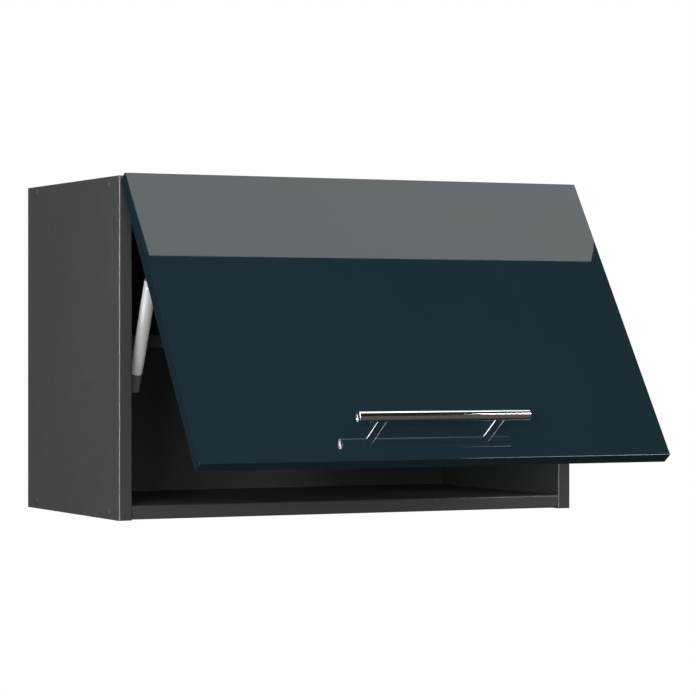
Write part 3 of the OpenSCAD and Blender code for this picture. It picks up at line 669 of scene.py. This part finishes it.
def crossTool(size, depth):
    half, thin = size / 2, size / cross["slimness"]
    wings = []
    for turn in (0, math.pi / 2):
        shape = boxShape(Vector((-half, -thin, -depth)), Vector((half, thin, size)))
        for vertex in shape.verts:
            if vertex.co.z < 0:
                vertex.co.x *= cross["lengthBelow"]
                vertex.co.y *= cross["thicknessBelow"]
        wings.append(placed(shape, Matrix.Rotation(turn, 4, "Z")))
    return newObject("wings", joined("wings", wings))


screw = {
    "head": ((0, 0), (0.62, 0), (0.88, 0.22), (1, 0.6), (1, 1)),
    "plain": 0.12,            # share of the shank that has no thread
    "threaded": 0.88,         # share of the rest that has one, the last bit being the point
    "ridges": 7, "root": 0.78, "tip": 0.7, "recess": 0.52, "deepest": 0.25, "steps": 28,
}


def screwOutline(radius, head, shank, length):  # pan head over a threaded shank that ends in a point
    outline = sized(screw["head"], radius, head) + [(shank, -head)]
    start = -head - (length - head) * screw["plain"]
    pitch = (length + start) * screw["threaded"] / screw["ridges"]
    for i in range(screw["ridges"]):
        outline += [(shank * screw["root"], start - i * pitch), (shank, start - (i + 0.5) * pitch)]
    return outline + [(shank * screw["tip"], start - screw["ridges"] * pitch), (0, -length)]


def screwMaker(head, shank):
    def make(length, width):
        outline = screwOutline(width / 2, head, shank, length)
        made = turnedTemplate("screw", outline, screw["steps"])
        cut(made, crossTool(width * screw["recess"], min(head, length * screw["deepest"])))
        return made
    return make


nail = {"head": ((0, 0), (0.4, 0), (0.5, 0.5), (0.5, 1)), "headHeight": 0.0008, "shank": 0.0008,
        "neck": 1.6, "point": 0.9, "steps": 20}


def makeNail(length, width):
    height, shank = nail["headHeight"], nail["shank"]
    outline = sized(nail["head"], width, height)
    outline += [(shank, -height * nail["neck"]), (shank, -length * nail["point"]), (0, -length)]
    return turnedTemplate("nail", outline, nail["steps"])


cap = {"disc": ((0, 0), (0.36, 0), (0.46, 0.25), (0.5, 0.75), (0.5, 1)), "thickness": 0.0008,
       "plug": 0.4, "plugTip": 0.36, "plugTaper": 0.8, "steps": 40}


def makeCap(length, width):  # a thin disc with a soft rim and a plug behind it
    plug = width * cap["plug"]
    outline = sized(cap["disc"], width, cap["thickness"])
    outline += [(plug, -cap["thickness"]), (plug, -length * cap["plugTaper"]),
                (width * cap["plugTip"], -length), (0, -length)]
    return turnedTemplate("cap", outline, cap["steps"])


pin = {"waist": ((0.5, 0.47), (0.43, 0.49), (0.43, 0.51), (0.5, 0.53)), "chamfer": 0.12, "steps": 28}


def makePin(length, width):  # shelf pin with a groove at the panel's face
    radius, chamfer = width / 2, width * pin["chamfer"]
    outline = [(0, 0), (radius - chamfer, 0), (radius, -chamfer), *sized(pin["waist"], width, length),
               (radius, chamfer - length), (radius - chamfer, -length), (0, -length)]
    return turnedTemplate("pin", outline, pin["steps"])


adjuster = {"crown": 0.43, "chamfer": 0.09, "recess": 0.6, "recessDepth": 0.28, "steps": 28}


def makeAdjuster(length, width):
    outline = [(0, 0), (width * adjuster["crown"], 0), (width / 2, -width * adjuster["chamfer"]),
               (width / 2, -length), (0, -length)]
    made = turnedTemplate("adjuster", outline, adjuster["steps"])
    cut(made, crossTool(width * adjuster["recess"], width * adjuster["recessDepth"]))
    return made


bumper = {"dome": ((0, 0), (0.22, 0.03), (0.38, 0.2), (0.47, 0.5), (0.5, 0.9), (0.5, 1), (0, 1)),
          "steps": 32}


def makeBumper(length, width):  # soft pad: a flat dome
    return turnedTemplate("bumper", sized(bumper["dome"], width, length), bumper["steps"])


smallScrew = screwMaker(head=0.0016, shank=0.00175)
doorAim = toward(*doorInward)
fixingRows = (
    ("back_nails", toward(0, 1, 0), makeNail),
    ("screw_caps", outward, makeCap),
    ("shelf_pins", inward, makePin),
    ("hanger_screws", inward, screwMaker(head=0.002, shank=0.002)),
    ("hanger_adjusters", toward(0, -1, 0), makeAdjuster),
    ("hinge_plate_screws", toward(0, 0, -1), screwMaker(head=0.002, shank=0.003)),
    ("hinge_adjusters", toward(0, 0, -1), screwMaker(head=0.0015, shank=0.002)),
    ("hinge_cup_screws", doorAim, smallScrew),
    ("strut_base_screws", inward, smallScrew),
    ("strut_mount_screws", doorAim, smallScrew),
    ("handle_screws", doorAim, screwMaker(head=0.0022, shank=0.002)),
    ("door_bumpers", doorAim, makeBumper),
)
placedCount = sum(placeFixings(*row) for row in fixingRows)
print("fixings placed:", placedCount)

# Door: a board rounded over at the front, bored for the hinges and drilled for the handle
door = {"frontRound": 0.001, "arris": 0.0004, "boreSteps": 64, "cup": 0.0351, "cupEdge": 0.0225,
        "drill": 0.0041, "through": 0.002}


def doorBores():  # each as place across and up, diameter, front and back
    bores = []
    behind = doorHigh.y + door["through"]
    for name in sideNames:
        low, high = localBox("hinge_cup_" + name, doorPlace)
        bores.append(((low.x + high.x) / 2, doorHigh.z - door["cupEdge"], door["cup"], low.y, behind))
    for nodeName in ("hinge_cup_screws", "strut_mount_screws", "handle_screws"):
        for part in looseParts(nodeName):
            low, high = corners([doorPlace.inverted() @ point for point in part])
            front = low.y if low.y > doorLow.y else doorLow.y - door["through"]
            bores.append(((low.x + high.x) / 2, (low.z + high.z) / 2, door["drill"], front, behind))
    return bores


def boreTool(bores):
    shapes = []
    for across, up, diameter, front, back in bores:
        outline = [(0, front), (diameter / 2, front), (diameter / 2, back), (0, back)]
        spot = doorPlace @ Matrix.Translation((across, 0, up)) @ turnToY
        shapes.append(placed(turned(outline, door["boreSteps"]), spot))
    return newObject("bores", joined("bores", shapes))


def makeDoor():
    shape = boxShape(doorLow, doorHigh)
    roundFront(shape, doorLow, door["frontRound"], door["arris"])
    piece = newObject("doorPanel", toMesh("doorPanel", placed(shape, doorPlace)))
    cut(piece, boreTool(doorBores()))
    smooth(piece, creases["rounded"])
    finishPiece(piece, "door_panel")


makeDoor()

# Handle: a bar with plugged ends on two posts, which keep their CAD shape
handle = {
    "chamfer": 0.0007, "chamferSteps": 4, "steps": 72, "postArris": 0.0002,
    "plug": 0.0046, "plugSink": 0.0004, "seam": 0.0003,
    "domeTop": 0.000375, "domeSide": 0.00025, "domeShare": 0.6,  # the side is at this share of the plug
}


def makeBar():
    low, high = localBox("handle_bar", doorPlace)
    radius, half = (high.y - low.y) / 2, (high.x - low.x) / 2
    chamfer, plug, seam = handle["chamfer"], handle["plug"], handle["seam"]
    face = half - handle["plugSink"]
    end = [(0, face + handle["domeTop"]), (plug * handle["domeShare"], face + handle["domeSide"]),
           (plug - seam, face), (plug, face - seam), (plug + seam, half)]
    end += arc((radius - chamfer, half - chamfer), chamfer, 90, 0, handle["chamferSteps"])
    outline = end + [(across, -along) for across, along in reversed(end)]
    axis = doorPlace @ Matrix.Translation((0, (low.y + high.y) / 2, (low.z + high.z) / 2))
    shape = placed(turned(outline, handle["steps"]), axis @ turnToX)
    piece = newObject("handleBar", toMesh("handleBar", shape))
    smooth(piece, creases["turned"])
    finishPiece(piece, "handle_bar")


makeBar()
softenedCopy("handle_posts", handle["postArris"])
print("door and handle made")

# Struts: tube and rod are turned round the line between the two pivots, the rest keeps its CAD shape
strut = {
    "wall": 0.001, "floor": 0.002, "rolledEnd": 0.0012, "lip": 0.0004, "lipSteps": 3,
    "neck": 0.93, "neckRise": 0.026,  # the tube's closed end narrows to this share of its radius
    "crimp": 0.0005, "crimpDrop": 0.007, "crimpHalf": 0.0015,
    "rodChamfer": 0.0005, "rodRadius": 0.003, "pistonLength": 0.005, "steps": 56,
    "collarRound": 0.0005, "footRound": 0.0012, "eyeRound": 0.0009,
}


def strutPlace(name):  # origin on the upper pivot, z up along the rod
    swing = next(joint for joint in frame["joints"] if joint["name"] == "rod_" + name + "_swing")
    slide = next(joint for joint in frame["joints"] if joint["name"] == "tube_" + name + "_slide")
    across, up = Vector((1, 0, 0)), -Vector(slide["axis"]).normalized()
    turn = Matrix((across, up.cross(across), up)).transposed().to_4x4()
    return Matrix.Translation(swing["pos_m"]) @ turn


def turnedPiece(nodeName, outline, place):
    shape = placed(turned(outline, strut["steps"]), place)
    piece = newObject(pieceName(nodeName), toMesh(nodeName, shape))
    smooth(piece, creases["turned"])
    finishPiece(piece, nodeName)


def makeTube(name, place):
    low, high = localBox("strut_tube_" + name, place)
    radius, end, lip, rolled = high.x, high.z, strut["lip"], strut["rolledEnd"]
    neck, start = radius * strut["neck"], low.z + lip
    waist, crimp, half = radius - strut["crimp"], end - strut["crimpDrop"], strut["crimpHalf"]
    bore, floor = radius - strut["wall"], low.z + strut["floor"]
    outline = [(0, start), (neck - rolled, start)]
    outline += arc((neck - rolled, start + rolled), rolled, -90, 0)
    outline += [(radius, low.z + strut["neckRise"]), (radius, crimp - half), (waist, crimp - half / 3),
                (waist, crimp + half / 3), (radius, crimp + half)]
    outline += arc((radius - lip, end - lip), lip, 0, 90, strut["lipSteps"])
    outline += [(bore, end), (bore, floor), (0, floor)]
    turnedPiece("strut_tube_" + name, outline, place)


def makeRod(name, place):
    low, high = localBox("strut_rod_" + name, place)
    piston, rod, chamfer = high.x, strut["rodRadius"], strut["rodChamfer"]
    back = low.z + strut["pistonLength"]
    outline = [(0, low.z), (piston - chamfer, low.z), (piston, low.z + chamfer),
               (piston, back - chamfer), (piston - chamfer, back), (rod, back),
               (rod, high.z - chamfer), (rod - chamfer, high.z), (0, high.z)]
    turnedPiece("strut_rod_" + name, outline, place)


for name in sideNames:
    place = strutPlace(name)
    makeTube(name, place)
    makeRod(name, place)
    softenedCopy("strut_collar_" + name, strut["collarRound"])
    softenedCopy("strut_foot_" + name, strut["footRound"], 3)
    softenedCopy("strut_head_" + name, strut["eyeRound"], 3)
print("struts made")

# Pressed and moulded hardware: CAD shapes with the radius and segments of their edge rounding
hardware = {
    "hanger_housing": (0.0010, 3), "hanger_hook": (0.0006, 2), "wall_plate": (0.0005, 2),
    "hinge_plate": (0.0006, 2), "hinge_arm": (0.0006, 2), "hinge_link": (0.0003, 2),
    "hinge_cup": (0.0003, 2), "strut_base": (0.0005, 2), "strut_mount": (0.0005, 2),
}
roundPins = {"arris": 0.0004, "names": ("hinge_pins", "strut_base_studs", "strut_mount_pins",
                                        "confirmat_screws")}
for name in sideNames:
    for stem, rounding in hardware.items():
        softenedCopy(stem + "_" + name, *rounding)
for nodeName in roundPins["names"]:
    softenedCopy(nodeName, roundPins["arris"])
print("hardware made")


# Camera, at the photograph's place
camera = {
    "place": (-1.511117, -3.458613, -0.121547),
    "turn": 25.61,            # degrees clockwise from the wall's own direction
    "lens": 150.01,
    "sensor": 36,
    "shiftY": -0.01032,
}
cameraObject = bpy.data.objects.new("camera", bpy.data.cameras.new("camera"))
cameraObject.data.lens = camera["lens"]
cameraObject.data.sensor_width = camera["sensor"]
cameraObject.data.shift_y = camera["shiftY"]
cameraObject.location = camera["place"]
cameraObject.rotation_euler = (math.radians(90), 0, -math.radians(camera["turn"]))
scene.collection.objects.link(cameraObject)
scene.camera = cameraObject
scene.view_settings.view_transform = "Standard"

# World: white to the camera, plain light on the object, and a dark studio in its reflections. The spans
# give the part of a ray's direction, upwards or towards the wall, over which one level becomes the next.
studio = {
    "light": (0.2, 0.72),     # from the dark floor of the studio, and from above
    "lightSpan": (-0.4, 0.3),
    "dark": 0.018,            # reflected from above and from the wall's side
    "front": (0.085, 0.125),  # reflected from the room in front, from below and level with the cabinet
    "frontSpan": (-0.9, -0.1),
    "topSpan": (0, 0.25),
    "wallSpan": (-0.35, 0),
}
white = (1, 1, 1, 1)
world = bpy.data.worlds.new("studio")
world.use_nodes = True
scene.world = world
tree = world.node_tree
tree.nodes.clear()
paths = addNode(tree, "ShaderNodeLightPath")
direction = addNode(tree, "ShaderNodeTexCoord").outputs["Generated"]
split = addNode(tree, "ShaderNodeSeparateXYZ", {"Vector": direction})
inFront = spread(tree, split.outputs["Y"], 1, 0, *studio["wallSpan"])
level = spread(tree, split.outputs["Z"], *studio["front"], *studio["frontSpan"])
below = spread(tree, split.outputs["Z"], 1, 0, *studio["topSpan"])
roomGlow = reckon(tree, "MULTIPLY", reckon(tree, "MULTIPLY", level, below), inFront)
glow = reckon(tree, "MAXIMUM", roomGlow, studio["dark"])
light = spread(tree, split.outputs["Z"], *studio["light"], *studio["lightSpan"])
plain = addNode(tree, "ShaderNodeBackground", {"Color": white, "Strength": light})
mirrored = addNode(tree, "ShaderNodeBackground", {"Color": white, "Strength": glow})
backdrop = addNode(tree, "ShaderNodeBackground", {"Color": white, "Strength": 1})
glossy = addNode(tree, "ShaderNodeMixShader", {
    0: paths.outputs["Is Glossy Ray"], 1: plain.outputs[0], 2: mirrored.outputs[0]})
seen = addNode(tree, "ShaderNodeMixShader", {
    0: paths.outputs["Is Camera Ray"], 1: glossy.outputs[0], 2: backdrop.outputs[0]})
addNode(tree, "ShaderNodeOutputWorld", {"Surface": seen.outputs[0]})

# Floor: pale paint that fades to white towards its rim
floor = {
    "height": -1.43, "radius": 4.5, "segments": 128, "fadeFrom": 1.2, "fadeTo": 3.2,
    "paint": (0.82, 0.82, 0.82, 1), "roughness": 0.9,
}
shape = bmesh.new()
bmesh.ops.create_circle(shape, cap_ends=True, radius=floor["radius"], segments=floor["segments"])
floorMesh = toMesh("floor", placed(shape, Matrix.Translation((0, 0, floor["height"]))))
floorObject = newObject("floor", floorMesh)
material, tree, shader = newFinish("floorPaint", {
    "Base Color": floor["paint"], "Roughness": floor["roughness"]})
flat = addNode(tree, "ShaderNodeVectorMath", {
    0: addNode(tree, "ShaderNodeTexCoord").outputs["Object"], 1: (1, 1, 0)}, operation="MULTIPLY")
reach = addNode(tree, "ShaderNodeVectorMath", {0: flat.outputs[0]}, operation="LENGTH").outputs["Value"]
fade = spread(tree, reach, 0, 1, floor["fadeFrom"], floor["fadeTo"])
fade = reckon(tree, "MULTIPLY", fade, addNode(tree, "ShaderNodeLightPath").outputs["Is Camera Ray"])
bright = addNode(tree, "ShaderNodeEmission", {"Color": white, "Strength": 1})
faded = addNode(tree, "ShaderNodeMixShader", {0: fade, 1: shader.outputs[0], 2: bright.outputs[0]})
tree.links.new(faded.outputs[0], tree.nodes["Material Output"].inputs["Surface"])
floorObject.data.materials.append(material)
floorObject.visible_glossy = False
floorObject.visible_diffuse = False


def facing(place, target):
    return (Vector(target) - Vector(place)).to_track_quat("-Z", "Y")


def areaLight(name, place, target, size, strength):  # lights the object, and isn't seen in its gloss
    lamp = bpy.data.lights.new(name, "AREA")
    lamp.shape = "RECTANGLE"
    lamp.size, lamp.size_y = size
    lamp.energy = strength
    lampObject = bpy.data.objects.new(name, lamp)
    lampObject.location = place
    lampObject.rotation_euler = facing(place, target).to_euler()
    lampObject.visible_glossy = False
    scene.collection.objects.link(lampObject)


def glossCard(name, outline, strength):  # seen in the object's gloss alone
    mesh = bpy.data.meshes.new(name)
    mesh.from_pydata(outline, [], [list(range(len(outline)))])
    cardObject = newObject(name, mesh)
    material, tree, shader = newFinish(name, {
        "Base Color": (0, 0, 0, 1), "Emission Color": white, "Emission Strength": strength})
    mesh.materials.append(material)
    cardObject.visible_camera = False
    cardObject.visible_diffuse = False
    cardObject.visible_shadow = False


lights = (  # name, place, aim, size, strength
    ("leftSoftbox", (-2.6, -0.25, 0.1), (-0.3, -0.2, -0.2), (0.6, 1.8), 10),
    ("frontLeftSoftbox", (-1.9, -2.6, 0.15), (-0.1, -0.3, -0.3), (0.9, 0.9), 21),
    ("frontSoftbox", (-0.9, -3.3, 0.2), (0, -0.3, -0.35), (1.0, 0.5), 14),
    ("keySoftbox", (1.52, -2.44, 0.84), (0, -0.5, -0.25), (0.6, 1.1), 2),
)
cards = (  # the flag keeps the post card out of the door's rounded left edge
    ("leftCard", (-2.53, -1.18, -0.1), (-0.3, -0.32, -0.1), (1.3, 1.6), 24),
    ("postCard", (-0.68, -1.17, 1.04), (-0.02, -0.5, -0.27), (0.8, 0.6), 36),
    ("keyCard", (1.85, -2.22, 0.84), (0.18, -0.555, -0.25), (1.25, 0.7), 18),
    ("flag", (-0.38, -0.6, 0.135), (-0.2985, -0.44, -0.105), (0.25, 0.5), 0),
)
for row in lights:
    areaLight(*row)
for name, place, target, size, strength in cards:
    turn = facing(place, target)
    ends = [(-1, -1), (1, -1), (1, 1), (-1, 1)]
    outline = [Vector(place) + turn @ Vector((x * size[0] / 2, y * size[1] / 2, 0)) for x, y in ends]
    glossCard(name, outline, strength)

# The door mirrors a pale ceiling card along its upper part, so the card's near edge lies where the
# camera's mirror image looks through the door's front. The places are across the door and down it.
ceiling = {
    "band": 0.1183,                       # how far down the door the mirrored card reaches
    "leftEdge": ((-0.2945, 0.1183), (-0.2985, 0)),
    "rightEdge": ((0.283, 0.1183), (0.2925, 0.1), (0.3125, 0.05)),
    "reach": 0.6,                         # distance from the door
    "depth": 0.7,
    "taper": 0.22,                        # the far edge is that much shorter at the right
    "strength": 2.4,
}


def ceilingOutline():
    front = doorPlace @ Vector((0, doorLow.y, 0))
    eye = Vector(camera["place"])
    eye += 2 * (eye - front).dot(doorInward) * -doorInward
    middle = doorPlace @ Vector((0, doorLow.y, doorHigh.z - ceiling["band"]))
    axis = (middle - eye).normalized()
    plane = middle + axis * ceiling["reach"]

    def through(across, down):
        ray = doorPlace @ Vector((across, doorLow.y, doorHigh.z - down)) - eye
        return eye + ray * ((plane - eye).dot(axis) / ray.dot(axis))

    def goOn(first, last):  # lengthen a side of the card to its full depth
        start, end = through(*first), through(*last)
        return start + (end - start).normalized() * ceiling["depth"]

    left = [through(*spot) for spot in ceiling["leftEdge"]]
    right = [through(*spot) for spot in ceiling["rightEdge"]]
    farRight = goOn(*ceiling["rightEdge"][1:]) - Vector((ceiling["taper"], 0, 0))
    return [left[0], *right, farRight, goOn(*ceiling["leftEdge"])]


glossCard("ceilingCard", ceilingOutline(), ceiling["strength"])
print("studio ready")
